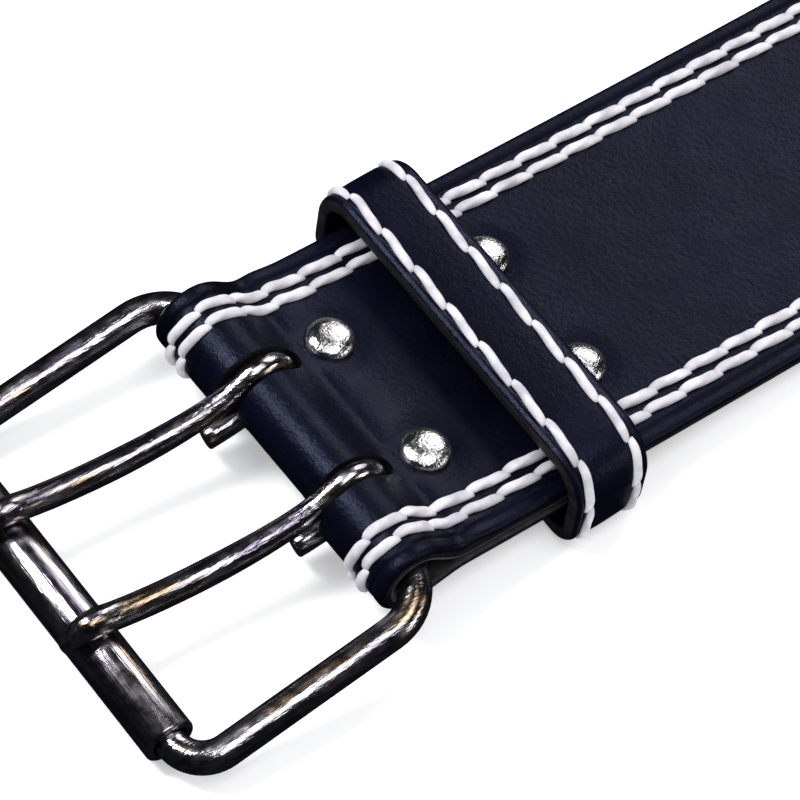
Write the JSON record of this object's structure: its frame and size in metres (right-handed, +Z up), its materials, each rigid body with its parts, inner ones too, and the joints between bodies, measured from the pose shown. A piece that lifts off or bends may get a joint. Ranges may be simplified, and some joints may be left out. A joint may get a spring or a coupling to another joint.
{
  "type": "weightlifting belt",
  "caption": "Leather lifting belt lying open: wide back, narrow ends, wire buckle with roller and twin prongs, riveted fold, stitched keeper loop and paired holes.",
  "frame": {"origin": "on the floor, under the middle of the whole belt's box, buckle included", "axes": "+X along the belt from the buckle to the tip, +Y across the belt, +Z up out of the outer face"},
  "size_m": [1.1152, 0.1, 0.0194],
  "materials": {
    "leather": "satin black smooth leather, faint navy tint",
    "keeper_leather": "satin black smooth leather, faint navy tint",
    "buckle_steel": "polished dark nickel plate",
    "roller_steel": "polished dark nickel plate",
    "rivet_nickel": "bright nickel plate"
  },
  "bodies": {
    "belt": {"belt_body": "leather", "keeper_loop": "keeper_leather", "rivet_front_near": "rivet_nickel", "rivet_front_far": "rivet_nickel", "rivet_rear_near": "rivet_nickel", "rivet_rear_far": "rivet_nickel"},
    "buckle": {"buckle_frame": "buckle_steel"},
    "roller": {"roller": "roller_steel"},
    "near_prong": {"prong_near": "buckle_steel"},
    "far_prong": {"prong_far": "buckle_steel"}
  },
  "joints": [
    {"name": "buckle_hinge", "type": "hinge", "parent": "belt", "child": "buckle", "pos_m": [-0.50202, 0, 0.0115], "axis": [0, 1, 0], "range_deg": [0, 40]},
    {"name": "roller_spin", "type": "hinge", "parent": "buckle", "child": "roller", "pos_m": [-0.5495, 0, 0.0045], "axis": [0, 1, 0], "continuous": true},
    {"name": "near_prong_hinge", "type": "hinge", "parent": "buckle", "child": "near_prong", "pos_m": [-0.50202, 0, 0.0115], "axis": [0, 1, 0], "range_deg": [0, 90]},
    {"name": "far_prong_hinge", "type": "hinge", "parent": "buckle", "child": "far_prong", "pos_m": [-0.50202, 0, 0.0115], "axis": [0, 1, 0], "range_deg": [0, 90]}
  ]
}
